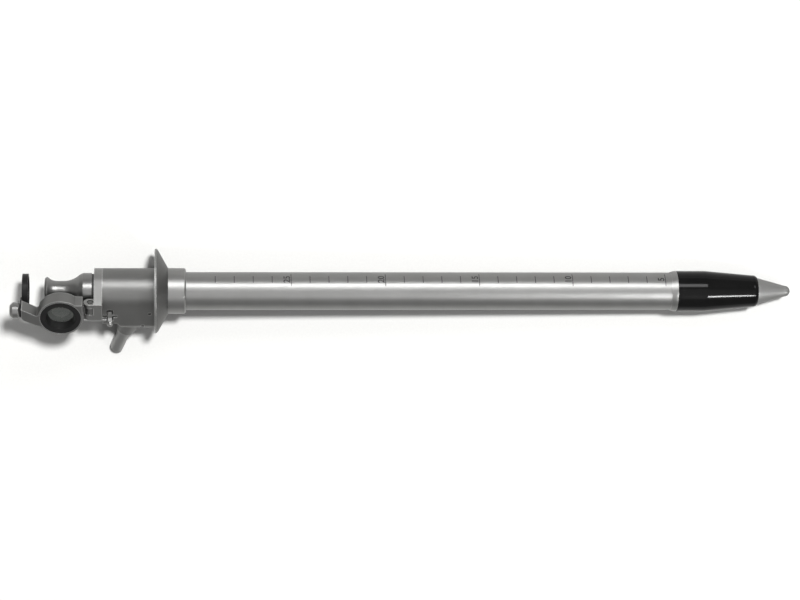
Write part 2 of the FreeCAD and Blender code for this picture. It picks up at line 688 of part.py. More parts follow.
def window_frame():
    """Frame of the swing-out window: ring, squared upper corner, knuckle and the loupe's arm."""
    body = new_body("window_frame")
    disc = new_circle(body, "XZ_Plane", "frame_radius", (f"-{RING_X}", "0", FRAME_MIDDLE))
    extrude(body, "Pad", disc, "frame_thickness")
    lug = new_sketch(body, "XZ_Plane", [
        (f"-{RING_X}", "knuckle_middle - knuckle_height / 2"),
        (f"-{FRAME_END}", "knuckle_middle - knuckle_height / 2"),
        (f"-{FRAME_END}", "frame_lug_top"),
        (f"-{RING_X}", "frame_lug_top"),
    ], shift=("0", "0", FRAME_MIDDLE))
    extrude(body, "Pad", lug, "frame_thickness")
    arm = new_sketch(body, "XZ_Plane", [
        (f"-{RING_X}", "-arm_root_bottom"),
        (f"-{RING_X}", "arm_root_top"),
        (f"-({RING_X} + arm_bend_from_ring)", "arm_bend_top"),
        (f"-{ARM_END}", "arm_end_top"),
        (f"-{ARM_END}", "-(arm_end_bottom - arm_end_bevel)"),
        (f"-({ARM_END} - arm_end_bevel)", "-arm_end_bottom"),
        (f"-({RING_X} + arm_bend_from_ring)", "-arm_bend_bottom"),
    ], shift=("0", "0", FRAME_MIDDLE))
    extrude(body, "Pad", arm, "frame_thickness")
    front_touch = f"sqrt({LUG_ROUND} ^ 2 - (neck_front - pin_front) ^ 2)"
    back_touch = f"sqrt({LUG_ROUND} ^ 2 - (pin_front - {FRAME_BACK}) ^ 2)"
    knuckle = new_sketch(body, "XY_Plane", [
        (f"-({FRAME_END} + frame_gap)", "-neck_front"),
        (f"-({PIN_X} + {front_touch})", "-neck_front", LUG_ROUND, 1),
        (f"-{PIN_X}", "-lug_front", LUG_ROUND, 1),
        (f"-({PIN_X} - {LUG_ROUND})", "-pin_front", LUG_ROUND, 1),
        (f"-{PIN_X}", f"-(pin_front - {LUG_ROUND})", LUG_ROUND, 1),
        (f"-({PIN_X} + {back_touch})", f"-{FRAME_BACK}"),
        (f"-({FRAME_END} + frame_gap)", f"-{FRAME_BACK}"),
    ], shift=("0", "0", "knuckle_middle"))
    extrude(body, "Pad", knuckle, "knuckle_height")
    # Stepped opening for bezel, glass and gasket
    glass_front = "(frame_front - bezel_depth)"
    glass_back = f"({glass_front} - glass_thickness)"
    gasket_back = f"({glass_back} - gasket_thickness)"
    opening = new_sketch(body, "XY_Plane", [
        ("0", "-frame_front"),
        ("bezel_radius", "-frame_front"),
        ("bezel_radius", f"-{glass_front}"),
        ("glass_radius + window_fit", f"-{glass_front}"),
        ("glass_radius + window_fit", f"-{gasket_back}"),
        ("back_opening_radius", f"-{gasket_back}"),
        ("back_opening_radius", f"-{FRAME_BACK}"),
        ("0", f"-{FRAME_BACK}"),
    ], shift=(f"-{RING_X}", "0", "0"))
    spin(body, "Groove", opening, "V_Axis")
    pin_hole = new_circle(body, "XY_Plane", "pin_radius + pin_clearance",
                          (f"-{PIN_X}", "-pin_front", "knuckle_middle"))
    extrude(body, "Pocket", pin_hole, "knuckle_height * 2")
    # Blind bearing for the loupe's shaft, and the hole of its grub screw
    shaft_hole = new_circle(body, "YZ_Plane", "shaft_radius + shaft_clearance",
                            (f"-{FRAME_MIDDLE}", "loupe_axis_height", f"-{ARM_END}"))
    extrude(body, "Pocket", shaft_hole, "(shaft_bearing + shaft_clearance) * 2")
    screw_hole = new_circle(body, "XY_Plane", "arm_screw_radius",
                            (f"-({ARM_END} - arm_screw_from_end)", f"-{FRAME_MIDDLE}", "-arm_bend_bottom"))
    extrude(body, "Pocket", screw_hole, "(arm_bend_bottom + loupe_axis_height - shaft_radius) * 2")
    return body


def window_bezel():
    """Black funnel in the front of the window frame."""
    glass_front = "(frame_front - bezel_depth)"
    return turned("window_bezel", [
        ("bezel_inner_radius", "-frame_front"),
        ("glass_sight_radius", f"-{glass_front}"),
        ("bezel_radius", f"-{glass_front}"),
        ("bezel_radius", "-frame_front"),
    ], plane="XY_Plane", shift=(f"-{RING_X}", "0", "0"), axis="V_Axis")


def window_glass():
    """Window glass behind the bezel, domed towards the front as a magnifier."""
    front = "-(frame_front - bezel_depth)"
    dome = dome_radius("glass_dome_radius", "glass_dome_rise")
    return turned("window_glass", [
        ("0", f"{front} - glass_dome_rise", dome, 1),
        ("glass_dome_radius", front),
        ("glass_radius", front),
        ("glass_radius", f"{front} + glass_thickness"),
        ("0", f"{front} + glass_thickness"),
    ], plane="XY_Plane", shift=(f"-{RING_X}", "0", "0"), axis="V_Axis")


def window_gasket():
    """Gasket between the glass and the frame's back lip."""
    front = "-(frame_front - bezel_depth - glass_thickness)"
    return ring("window_gasket", front, f"{front} + gasket_thickness", "back_opening_radius", "glass_radius",
                plane="XY_Plane", shift=(f"-{RING_X}", "0", "0"), axis="V_Axis")


LOUPE_SHIFT = ("0", "loupe_axis_height", FRAME_MIDDLE)


def arm_screw():
    """Grub screw under the arm's end that keeps the loupe's shaft in."""
    top = "(loupe_axis_height - shaft_radius - shaft_clearance)"
    return ring("arm_screw", "-(arm_end_bottom - screw_recess)", top, "0", "arm_screw_radius",
                shift=(f"-({ARM_END} - arm_screw_from_end)", "0", FRAME_MIDDLE), axis="V_Axis")


def loupe_shaft():
    """Shaft that turns with the knob in the arm's end."""
    inner = f"-({ARM_END} - shaft_bearing)"
    outer = f"-({KNOB_FRONT} + knob_length / 2)"
    return ring("loupe_shaft", inner, outer, "0", "shaft_radius", shift=LOUPE_SHIFT)


def loupe_knob():
    """Knob at the arm's end, with bevelled edges."""
    return turned("loupe_knob", [
        (f"-{KNOB_FRONT}", "shaft_radius"),
        (f"-{KNOB_FRONT}", "knob_radius - knob_edge / 2"),
        (f"-({KNOB_FRONT} + knob_edge / 2)", "knob_radius"),
        (f"-({KNOB_FRONT} + knob_length - knob_edge)", "knob_radius"),
        (f"-({KNOB_FRONT} + knob_length)", "knob_radius - knob_edge"),
        (f"-({KNOB_FRONT} + knob_length)", "0"),
        (f"-({KNOB_FRONT} + knob_length / 2)", "0"),
        (f"-({KNOB_FRONT} + knob_length / 2)", "shaft_radius"),
    ], shift=LOUPE_SHIFT)


RIM_BACK = f"({STEM_FRONT} + loupe_behind_stem)"
LENS_BACK = f"({RIM_BACK} - loupe_lip)"
LENS_FRONT = f"({LENS_BACK} - loupe_lens_thickness)"
CLIP_BORE = "(loupe_lens_radius - loupe_clip_width)"


def loupe_rim():
    """Black rim of the loupe on the sheath's axis, with its stem to the shaft's eye."""
    body = new_body("loupe_rim")
    rim = new_sketch(body, "XZ_Plane", [
        (f"-{RIM_BACK}", CLIP_BORE),
        (f"-{RIM_BACK}", "loupe_radius"),
        (f"-({RIM_BACK} - loupe_thickness)", "loupe_radius"),
        (f"-({RIM_BACK} - loupe_thickness)", "loupe_lens_radius"),
        (f"-{LENS_BACK}", "loupe_lens_radius"),
        (f"-{LENS_BACK}", CLIP_BORE),
    ])
    spin(body, "Revolution", rim)
    half = "(loupe_stem_width / 2)"
    waist = f"sqrt(loupe_eye_radius ^ 2 - {half} ^ 2)"
    reach = f"(hypot({FRAME_MIDDLE}; loupe_axis_height) - (loupe_lens_radius + loupe_radius) / 2)"
    stem = new_sketch(body, "YZ_Plane", [
        (waist, half, "loupe_eye_radius", 1),
        ("0", "loupe_eye_radius", "loupe_eye_radius", 1),
        ("-loupe_eye_radius", "0", "loupe_eye_radius", 1),
        ("0", "-loupe_eye_radius", "loupe_eye_radius", 1),
        (waist, f"-{half}"),
        (reach, f"-{half}"),
        (reach, half),
    ], shift=(f"-{FRAME_MIDDLE}", "loupe_axis_height", f"-({STEM_FRONT} + loupe_stem_thickness / 2)"),
        turn=f"-atan2(loupe_axis_height; {FRAME_MIDDLE})")
    extrude(body, "Pad", stem, "loupe_stem_thickness")
    hole = new_circle(body, "YZ_Plane", "shaft_radius",
                      (f"-{FRAME_MIDDLE}", "loupe_axis_height", f"-({STEM_FRONT} + loupe_stem_thickness / 2)"))
    extrude(body, "Pocket", hole, "loupe_stem_thickness * 2")
    return body


def loupe_lens():
    """Lens of the loupe, domed towards the handle."""
    dome = dome_radius(CLIP_BORE, "loupe_lens_rise")
    return turned("loupe_lens", [
        (f"-({LENS_FRONT} - loupe_lens_rise)", "0", dome, 1),
        (f"-{LENS_FRONT}", CLIP_BORE),
        (f"-{LENS_FRONT}", "loupe_lens_radius"),
        (f"-{LENS_BACK}", "loupe_lens_radius"),
        (f"-{LENS_BACK}", "0"),
    ])


def loupe_clip():
    """Spring ring that holds the lens in its rim."""
    return ring("loupe_clip", f"-({LENS_FRONT} - loupe_clip_thickness)", f"-{LENS_FRONT}",
                CLIP_BORE, "loupe_lens_radius")


def catch_pin():
    """Pin across the slot on which the catch lever tips."""
    half = "catch_pin_length / 2"
    return ring("catch_pin", f"-({CATCH_X} + {half})", f"-({CATCH_X} - {half})", "0", "catch_pin_radius",
                shift=("0", "-catch_height", CATCH_PIN_Y))


def catch_lever():
    """Small lever that lies in the upright slot and ends in a dimpled ball."""
    body = new_body("catch_lever")
    face = "(head_radius + catch_lever_proud)"
    inner = f"({CATCH_PIN_Y} - catch_pin_radius - catch_lever_inner)"
    bar = new_sketch(body, "YZ_Plane", [
        (f"-{face}", "-catch_lever_top"),
        (f"-{face}", "-catch_height"),
        ("-(catch_ball_front + catch_ball_radius / 2)", "-catch_ball_height"),
        ("-(catch_ball_front - catch_ball_radius / 2)", "-catch_ball_height"),
        (f"-{inner}", "-(catch_height + catch_pin_radius * 2)"),
        (f"-{inner}", "-(catch_height - catch_pin_radius)"),
        (f"-{CATCH_PIN_Y}", "-catch_lever_top"),
    ], shift=("0", "0", f"-{CATCH_X}"))
    extrude(body, "Pad", bar, "catch_lever_width")
    ball = new_sketch(body, "XZ_Plane", [
        ("0", "-catch_ball_radius", "catch_ball_radius", 1),
        ("catch_ball_radius", "0", "catch_ball_radius", 1),
        ("0", "catch_ball_radius"),
    ], shift=(f"-{CATCH_X}", "-catch_ball_height", "catch_ball_front"))
    spin(body, "Revolution", ball, "V_Axis")
    pin_hole = new_circle(body, "YZ_Plane", "catch_pin_radius + pin_clearance",
                          (f"-{CATCH_PIN_Y}", "-catch_height", f"-{CATCH_X}"))
    extrude(body, "Pocket", pin_hole, "catch_lever_width * 2")
    dimple = new_circle(body, "XZ_Plane", "catch_dimple_radius",
                        (f"-{CATCH_X}", "-catch_ball_height", "catch_ball_front + catch_ball_radius"))
    extrude(body, "Pocket", dimple, "catch_dimple_depth * 2")
    return body


def obturator_handle():
    """Waisted handle with a beaded rim at its back and a wide front against the seal."""
    front = HANDLE_FRONT
    back = f"({front} + handle_length)"
    step = f"({front} + handle_front_length)"
    waist_start = f"({back} - handle_waist_start)"
    waist_end = f"({back} - handle_waist_end)"
    rim_length = f"(handle_waist_start - handle_bead)"
    rim_drop = "(handle_rim_radius - handle_waist_radius)"
    rim_round = f"(({rim_length} ^ 2 + {rim_drop} ^ 2) / (2 * {rim_drop}))"
    flare_length = f"({waist_end} - {step} - handle_step_length)"
    flare_drop = "(handle_step_radius - handle_waist_radius)"
    flare_round = f"(({flare_length} ^ 2 + {flare_drop} ^ 2) / (2 * {flare_drop}))"
    return turned("obturator_handle", [
        (f"-{front}", "0"),
        (f"-{front}", "handle_front_radius"),
        (f"-{step}", "handle_front_radius"),
        (f"-({step} + handle_step_length)", "handle_step_radius", flare_round, -1),
        (f"-{waist_end}", "handle_waist_radius"),
        (f"-{waist_start}", "handle_waist_radius", rim_round, -1),
        (f"-({back} - handle_bead)", "handle_rim_radius", "handle_bead", 1),
        (f"-{back}", "handle_rim_radius - handle_bead"),
        (f"-{back}", "0"),
    ])


def obturator_seal():
    """Black washer between the handle and the end plate."""
    return ring("obturator_seal", f"-{PLATE_BACK}", f"-{HANDLE_FRONT}", "rod_radius", "seal_radius")


def obturator_plug():
    """Plug that centres the obturator in the head's bore, with a groove for its O-ring."""
    end = f"({PLATE_BACK} - plug_length)"
    groove_back = f"({PLATE_BACK} - oring_from_seal)"
    groove_front = f"({groove_back} - oring_radius * 2)"
    groove_floor = f"({PLUG_RADIUS} - oring_radius * 2 + bore_clearance / 2)"
    return turned("obturator_plug", [
        (f"-{PLATE_BACK}", "rod_radius"),
        (f"-{PLATE_BACK}", PLUG_RADIUS),
        (f"-{groove_back}", PLUG_RADIUS),
        (f"-{groove_back}", groove_floor),
        (f"-{groove_front}", groove_floor),
        (f"-{groove_front}", PLUG_RADIUS),
        (f"-({end} + plug_edge)", PLUG_RADIUS),
        (f"-{end}", f"{PLUG_RADIUS} - plug_edge"),
        (f"-{end}", "rod_radius"),
    ])


def obturator_oring():
    """O-ring in the plug's groove, just clear of the bore."""
    middle = f"({PLATE_BACK} - oring_from_seal - oring_radius)"
    centre = f"({PLUG_RADIUS} - oring_radius + bore_clearance / 2)"
    return turned("obturator_oring", [
        (f"-({middle} + oring_radius)", centre, "oring_radius", 1),
        (f"-{middle}", f"{centre} - oring_radius", "oring_radius", 1),
        (f"-({middle} - oring_radius)", centre, "oring_radius", 1),
        (f"-{middle}", f"{centre} + oring_radius", "oring_radius", 1),
    ])


def obturator_rod():
    """Rod from the handle to the nose."""
    return ring("obturator_rod", f"-{HANDLE_FRONT}", "-(nose_shank - rod_seat)", "0", "rod_radius")


def obturator_guide():
    """Disc that keeps the rod in the middle of the sheath."""
    front = "guide_from_tip"
    back = "(guide_from_tip + guide_length)"
    return turned("obturator_guide", [
        (f"-{front}", "rod_radius"),
        (f"-{front}", f"{PLUG_RADIUS} - guide_edge"),
        (f"-({front} + guide_edge)", PLUG_RADIUS),
        (f"-({back} - guide_edge)", PLUG_RADIUS),
        (f"-{back}", f"{PLUG_RADIUS} - guide_edge"),
        (f"-{back}", "rod_radius"),
    ])


def obturator_nose():
    """Blunt cone that closes the sheath's mouth."""
    nose_radius = "(mouth_radius - bore_clearance)"
    cone_end = "(nose_length - nose_round_radius)"
    return turned("obturator_nose", [
        ("-nose_shank", "rod_radius"),
        ("-nose_shank", f"{nose_radius} - guide_edge"),
        ("-(nose_shank - guide_edge)", nose_radius),
        ("0", nose_radius),
        (cone_end, "nose_round_radius", "nose_round_radius", -1),
        ("nose_length", "0"),
        ("-(nose_shank - rod_seat)", "0"),
        ("-(nose_shank - rod_seat)", "rod_radius"),
    ])


BUILDERS = [
    sheath_tube, insulating_tip, tip_ferrule, collar, shield_flange, head_housing, light_post,
    flange_screw, base_screw, fibre_bundle, light_ring, end_plate, hinge_pin, catch_pin,
    window_frame, window_bezel, window_glass, window_gasket, arm_screw, loupe_shaft, loupe_knob,
    loupe_rim, loupe_lens, loupe_clip,
    catch_lever, obturator_handle, obturator_seal, obturator_plug, obturator_oring, obturator_rod,
    obturator_guide, obturator_nose,
]

parts = [build() for build in BUILDERS]
doc.recompute()

# Every feature is sound before anything is written
for item in doc.Objects:
    if "Invalid" in item.State or "Error" in item.State:
        raise RuntimeError(f"{item.Name} failed: {item.State}")
for part in parts:
    if part.Shape.isNull() or not part.Shape.isValid():
        raise RuntimeError(f"{part.Label} has no sound shape")


def lying_pitch():
    """Angle by which the sheath drops towards its tip, on the flange's rim and the tip's shoulder."""
    along = number(f"{COLLAR_BACK} + flange_depth - tip_length + tip_straight")
    return math.atan2(number("flange_radius - tip_radius"), along)


def lying_roll(pitch):
    """Angle from straight down at which the light post's end meets the table."""
    rim_drop = number("flange_radius") * math.cos(pitch)
    rim_drop -= number(f"{COLLAR_BACK} + flange_depth") * math.sin(pitch)
    lean = math.radians(number("post_lean"))
    edge = number("post_edge")
    low = 0.0
    high = math.pi / 2
    for _ in range(60):
        roll = (low + high) / 2
        end_x = number(f"-{POST_X}") + edge * math.sin(lean)
        end_down = number("post_reach") - edge * math.cos(lean)
        facing = math.cos(lean) * math.cos(roll) * math.cos(pitch) - math.sin(lean) * math.sin(pitch)
        post_drop = end_x * math.sin(pitch) + end_down * math.cos(roll) * math.cos(pitch)
        post_drop += number("post_radius") * math.sqrt(1 - facing ** 2)
        if post_drop > rim_drop:
            low = roll
        else:
            high = roll
    return roll


# The instrument lies on the flange's rim, the light post's end and the tip, with the middle of
# its footprint at the origin
pitch = lying_pitch()
roll = lying_roll(pitch)
turn = FreeCAD.Rotation(FreeCAD.Vector(0, 1, 0), math.degrees(pitch)).multiply(
    FreeCAD.Rotation(FreeCAD.Vector(1, 0, 0), -math.degrees(roll))
)
for part in parts:
    part.Placement = FreeCAD.Placement(FreeCAD.Vector(0, 0, 0), turn)
doc.recompute()
box = FreeCAD.BoundBox()
for part in parts:
    box.add(part.Shape.optimalBoundingBox(False))
shift = FreeCAD.Vector(-box.Center.x, -box.Center.y, -box.ZMin)
for part in parts:
    part.Placement = FreeCAD.Placement(shift, turn)
doc.recompute()

os.makedirs("parts", exist_ok=True)
for part in parts:
    part.Shape.exportStep(f"parts/{part.Label}.step")
    print(part.Label, len(part.Shape.Solids), round(part.Shape.Volume, 2))
print("lying pitch", math.degrees(pitch), "roll", math.degrees(roll), "shift", shift.x, shift.y, shift.z)
print("size", box.XLength, box.YLength, box.ZLength)
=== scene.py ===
import math

import bmesh
import bpy
from mathutils import Matrix, Vector


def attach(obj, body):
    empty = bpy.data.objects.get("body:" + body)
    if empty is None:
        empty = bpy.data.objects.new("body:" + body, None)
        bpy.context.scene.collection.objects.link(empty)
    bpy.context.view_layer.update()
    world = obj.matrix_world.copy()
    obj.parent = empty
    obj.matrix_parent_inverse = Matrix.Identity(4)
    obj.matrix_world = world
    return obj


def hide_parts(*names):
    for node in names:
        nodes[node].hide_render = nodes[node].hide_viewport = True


# Operating rectoscope with its obturator in place, lying on a table. Lengths are in metres.
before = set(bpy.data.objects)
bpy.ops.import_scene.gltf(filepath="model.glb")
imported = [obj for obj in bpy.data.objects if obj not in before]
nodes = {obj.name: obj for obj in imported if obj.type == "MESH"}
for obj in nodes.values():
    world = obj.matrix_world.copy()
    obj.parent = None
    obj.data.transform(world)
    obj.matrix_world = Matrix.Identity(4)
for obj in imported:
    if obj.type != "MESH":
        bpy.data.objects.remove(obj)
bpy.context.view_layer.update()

# The view
# A 118 mm lens looks down from 1.4 m, about 12 degrees from straight above, so that the whole
# instrument runs across the middle of the picture with the black tip on the right.
eye = Vector((-0.0634236, 0.3005708, 1.3849139))
view_right = Vector((0.9990350, 0.0173191, 0.0403635))
view_back = Vector((-0.0431265, 0.2126565, 0.9761748))
camera_data = bpy.data.cameras.new("camera")
camera_data.lens = 118.2
camera = bpy.data.objects.new("camera", camera_data)
bpy.context.collection.objects.link(camera)
view_turn = Matrix((view_right, view_back.cross(view_right), view_back)).transposed()
camera.matrix_world = Matrix.Translation(eye) @ view_turn.to_4x4()
bpy.context.scene.camera = camera
bpy.context.scene.view_settings.view_transform = "Standard"

# The table top
# A matt grey card that the lights turn white. Its tooth is too fine to show, and is drawn about
# 1 mm wide to keep the white from looking flat.
per_mm = 1000


def linear(hex_colour):
    """The linear colour of an sRGB hex value."""
    channels = [int(hex_colour[i:i + 2], 16) / 255 for i in (1, 3, 5)]
    return [c / 12.92 if c <= 0.04045 else ((c + 0.055) / 1.055) ** 2.4 for c in channels] + [1]


def add_node(tree, kind, inputs, **settings):
    """Add a node, set it, and fill its sockets with values or with other nodes' outputs."""
    node = tree.nodes.new(kind)
    for name, value in settings.items():
        setattr(node, name, value)
    for socket, value in inputs.items():
        if isinstance(value, bpy.types.NodeSocket):
            tree.links.new(value, node.inputs[socket])
        else:
            node.inputs[socket].default_value = value
    return node


def new_material(name):
    """A material with a Principled shader; returns it, its tree and the shader."""
    material = bpy.data.materials.new(name)
    material.use_nodes = True
    return material, material.node_tree, material.node_tree.nodes["Principled BSDF"]


card, card_tree, card_shader = new_material("matt_grey_card")
card_space = add_node(card_tree, "ShaderNodeTexCoord", {}).outputs["Object"]
card_tooth = add_node(card_tree, "ShaderNodeTexNoise", {
    "Vector": card_space, "Scale": 0.9 * per_mm, "Detail": 3.0,
})
card_tone = add_node(card_tree, "ShaderNodeMix", {
    "Factor": card_tooth.outputs["Fac"], 6: linear("#6b6b6a"), 7: linear("#717170"),
}, data_type="RGBA")
card_tree.links.new(card_tone.outputs[2], card_shader.inputs["Base Color"])
card_shader.inputs["Roughness"].default_value = 0.9
card_mesh = bpy.data.meshes.new("table_top")
card_shape = bmesh.new()
bmesh.ops.create_grid(card_shape, x_segments=1, y_segments=1, size=2.5)
card_shape.to_mesh(card_mesh)
card_shape.free()
card_mesh.materials.append(card)
table_top = bpy.data.objects.new("table_top", card_mesh)
bpy.context.collection.objects.link(table_top)

# The lights
# A long strip beyond the instrument draws the bright line along the sheath, a broad box fills the
# rest, a short strip adds the tip's second line, and an unmirrored high light draws the shadow.


def add_light(name, place, aim, width, height, power):
    """A rectangular light at one point, facing another, with its width along the instrument."""
    data = bpy.data.lights.new(name, "AREA")
    data.shape = "RECTANGLE"
    data.size = width
    data.size_y = height
    data.energy = power
    light = bpy.data.objects.new(name, data)
    bpy.context.collection.objects.link(light)
    back = (Vector(place) - Vector(aim)).normalized()
    across = (Vector((1, 0, 0)) - back * back.x).normalized()
    turn = Matrix((across, back.cross(across), back)).transposed()
    light.matrix_world = Matrix.Translation(Vector(place)) @ turn.to_4x4()


add_light("long_strip", place=(0.10, 0.65, 0.67), aim=(0.10, 0, 0.02),
          width=0.64, height=0.26, power=8.3)
add_light("overhead_box", place=(0.10, -0.15, 1.5), aim=(0, 0, 0),
          width=1.6, height=1.6, power=8.2)
add_light("short_strip", place=(0.49, -0.27, 0.70), aim=(0.17, 0, 0.01),
          width=0.10, height=0.065, power=4.3)
high_data = bpy.data.lights.new("high_light", "SUN")
high_data.energy = 18.0
high_data.angle = math.radians(7)
high_light = bpy.data.objects.new("high_light", high_data)
high_back = Vector((0.22, 0.42, 1.0))
high_light.matrix_world = high_back.to_track_quat("Z", "Y").to_matrix().to_4x4()
high_light.visible_glossy = False
bpy.context.collection.objects.link(high_light)
room = bpy.data.worlds.new("grey_room")
room.use_nodes = True
room_light = room.node_tree.nodes["Background"]
room_light.inputs["Color"].default_value = linear("#9b9b9a")
room_light.inputs["Strength"].default_value = 1.45
bpy.context.scene.world = room

# Sheath, ferrule, collar and obturator
# Satin stainless steel, turned and then dull polished: a soft broad sheen with shallow waves. The
# lathe's rings are too fine to show and are drawn 0.8 mm apart. The nose is blasted matt.

# The instrument's own frame has the sheath's axis as X, and this turn and shift lays it down.
lie = (
    Matrix.Translation((0.18913719, 0.00754117, 0.00974169))
    @ Matrix.Rotation(math.radians(2.23560761), 4, "Y")
    @ Matrix.Rotation(math.radians(-60.31936329), 4, "X")
)
lie_back = lie.inverted()


def add_grain_space(tree):
    """Object coordinates turned into the instrument's own frame."""
    place = add_node(tree, "ShaderNodeTexCoord", {}).outputs["Object"]
    return add_node(tree, "ShaderNodeMapping", {
        "Vector": place,
        "Rotation": lie_back.to_euler("XYZ"),
        "Location": lie_back.to_translation(),
    }).outputs["Vector"]


def make_steel(name, dark, light, roughness, grain, grain_depth, edge=0.0002, rubbed_and_highlight="#8e8e8d"):
    """Satin steel whose tone runs from dark to light in patches of 11 mm. Its grain is noise with
    so many lines a millimetre along the own frame's three axes, edge is the radius of the broken
    edges, and the last argument is the lighter colour painted on those edges: partly wear from
    handling, partly a painted highlight."""
    material, tree, shader = new_material(name)
    space = add_grain_space(tree)
    lines = add_node(tree, "ShaderNodeMapping", {
        "Vector": space, "Scale": [count * per_mm for count in grain],
    })
    fine = add_node(tree, "ShaderNodeTexNoise", {
        "Vector": lines.outputs["Vector"], "Scale": 1.0, "Detail": 3.0,
    })
    # The waves are about 70 mm long and 8 mm round the tube
    waves = add_node(tree, "ShaderNodeMapping", {
        "Vector": space, "Scale": (0.014 * per_mm, 0.12 * per_mm, 0.12 * per_mm),
    })
    wave = add_node(tree, "ShaderNodeTexNoise", {
        "Vector": waves.outputs["Vector"], "Scale": 1.0, "Detail": 1.0,
    })
    film = add_node(tree, "ShaderNodeTexNoise", {
        "Vector": space, "Scale": 0.09 * per_mm, "Detail": 4.0,
    })
    tone = add_node(tree, "ShaderNodeMix", {
        "Factor": film.outputs["Fac"], 6: linear(dark), 7: linear(light),
    }, data_type="RGBA")
    # Occlusion looked for inside the metal finds its convex edges, which are painted lighter:
    #     # partly wear, partly a painted highlight
    edge_near = add_node(tree, "ShaderNodeAmbientOcclusion", {
        "Distance": 1.6 * edge,
    }, samples=4, inside=True, only_local=True)
    edge_wear_and_highlight = add_node(tree, "ShaderNodeMapRange", {
        "Value": edge_near.outputs["AO"],
        "From Min": 0.85, "From Max": 0.58, "To Min": 0.0, "To Max": 0.8,
    })
    worn_and_highlight_tone = add_node(tree, "ShaderNodeMix", {
        "Factor": edge_wear_and_highlight.outputs["Result"], 6: tone.outputs[2], 7: linear(rubbed_and_highlight),
    }, data_type="RGBA")
    rough = add_node(tree, "ShaderNodeMapRange", {
        "Value": fine.outputs["Fac"], "To Min": roughness - 0.03, "To Max": roughness + 0.03,
    })
    broken_edge = add_node(tree, "ShaderNodeBevel", {"Radius": edge}, samples=4)
    long_waves = add_node(tree, "ShaderNodeBump", {
        "Height": wave.outputs["Fac"], "Normal": broken_edge.outputs["Normal"],
        "Strength": 0.25, "Distance": 0.0003,
    })
    scratches = add_node(tree, "ShaderNodeBump", {
        "Height": fine.outputs["Fac"], "Normal": long_waves.outputs["Normal"],
        "Strength": 0.3, "Distance": grain_depth,
    })
    tree.links.new(worn_and_highlight_tone.outputs[2], shader.inputs["Base Color"])
    tree.links.new(rough.outputs["Result"], shader.inputs["Roughness"])
    tree.links.new(scratches.outputs["Normal"], shader.inputs["Normal"])
    shader.inputs["Metallic"].default_value = 1.0
    return material


def dress(material, *names):
    """Give CAD nodes their finish."""
    for name in names:
        nodes[name].data.materials.clear()
        nodes[name].data.materials.append(material)


def join_facets(name, material, body):
    """A polished copy of a CAD node with a domed end: its loose facets are joined, and all but
    its edges is shaded smooth, right up to the dome's middle."""
    shape = bmesh.new()
    shape.from_mesh(nodes[name].data)
    bmesh.ops.remove_doubles(shape, verts=shape.verts, dist=1e-6)
    bmesh.ops.recalc_face_normals(shape, faces=shape.faces)
    for face in shape.faces:
        face.smooth = True
    for edge in shape.edges:
        edge.smooth = edge.calc_face_angle() < math.radians(25)
    mesh = bpy.data.meshes.new(f"polished_{name}")
    shape.to_mesh(mesh)
    shape.free()
    mesh.attributes.remove(mesh.attributes["custom_normal"])
    mesh.materials.append(material)
    piece = bpy.data.objects.new(f"polished_{name}", mesh)
    bpy.context.collection.objects.link(piece)
    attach(piece, body)
    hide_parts(name)


turned_steel = make_steel(
    "satin_turned_steel", "#767675", "#848483",
    roughness=0.40, grain=(1.3, 0.03, 0.03), grain_depth=0.000002,
)
dress(turned_steel, "sheath_tube", "tip_ferrule", "collar", "obturator_rod", "obturator_guide",
      "obturator_plug")
blasted_steel = make_steel(
    "blasted_steel", "#7b7b7a", "#898988",
    roughness=0.56, grain=(0.6, 0.6, 0.6), grain_depth=0.000003,
)
join_facets("obturator_nose", blasted_steel, "obturator")

# Light post and catch
# Small pieces turned from the same steel, the post seated in the head and the catch on a pin.
# Their steel is painted lighter than the sheath's, a painted brightness that stands in for light.
steel_painted_light = make_steel(
    "turned_steel_painted_light", "#868685", "#959594",
    roughness=0.38, grain=(0.9, 0.06, 0.06), grain_depth=0.000002,
)
dress(steel_painted_light, "light_post")
join_facets("catch_lever", steel_painted_light, "catch")

# Obturator handle, knob and shield
# Turned as well, with rings that are drawn about 1 mm apart. Their tone, darker than the
# sheath's,
# # is painted shade, and the shield's rounded rim carries a painted highlight.
steel_painted_shade = make_steel(
    "turned_steel_painted_shade", "#6e6e6d", "#7b7b7a",
    roughness=0.34, grain=(0.9, 0.03, 0.03), grain_depth=0.000003, edge=0.0003, rubbed_and_highlight="#a6a6a5",
)
dress(steel_painted_shade, "obturator_handle", "loupe_knob")
shield_steel = make_steel(
    "shield_steel_painted_shade", "#585857", "#646463",
    roughness=0.5, grain=(0.9, 0.03, 0.03), grain_depth=0.000003, edge=0.0007, rubbed_and_highlight="#b4b4b3",
)
dress(shield_steel, "shield_flange")

# Head, end plate and window frame
# Milled from bar and dull polished along the sheath, so their faint grain runs along it. Every
# # edge is broken by hand and carries a thin painted highlight.
milled_steel = make_steel(
    "satin_milled_steel", "#666665", "#737372",
    roughness=0.44, grain=(0.06, 1.3, 1.3), grain_depth=0.000003, edge=0.0004, rubbed_and_highlight="#a8a8a7",
)
dress(milled_steel, "head_housing", "window_frame")
# The end plate's steel is painted lighter than the head's: a painted sheen.
plate_steel = make_steel(
    "polished_plate_steel_painted_sheen", "#787877", "#868685",
    roughness=0.40, grain=(0.06, 1.3, 1.3), grain_depth=0.000003, edge=0.0003, rubbed_and_highlight="#a8a8a7",
)
dress(plate_steel, "end_plate")

# Pins, grub screws, loupe shaft and spring ring
# Hardened steel, pressed or screwed in: a little darker than the rest, with a fine even grain.
dark_steel = make_steel(
    "hardened_steel", "#5a5a59", "#686867",
    roughness=0.42, grain=(0.6, 0.6, 0.6), grain_depth=0.000004, edge=0.0001,
)
dress(dark_steel, "hinge_pin", "catch_pin", "flange_screw", "base_screw", "arm_screw",
      "loupe_shaft", "loupe_clip")

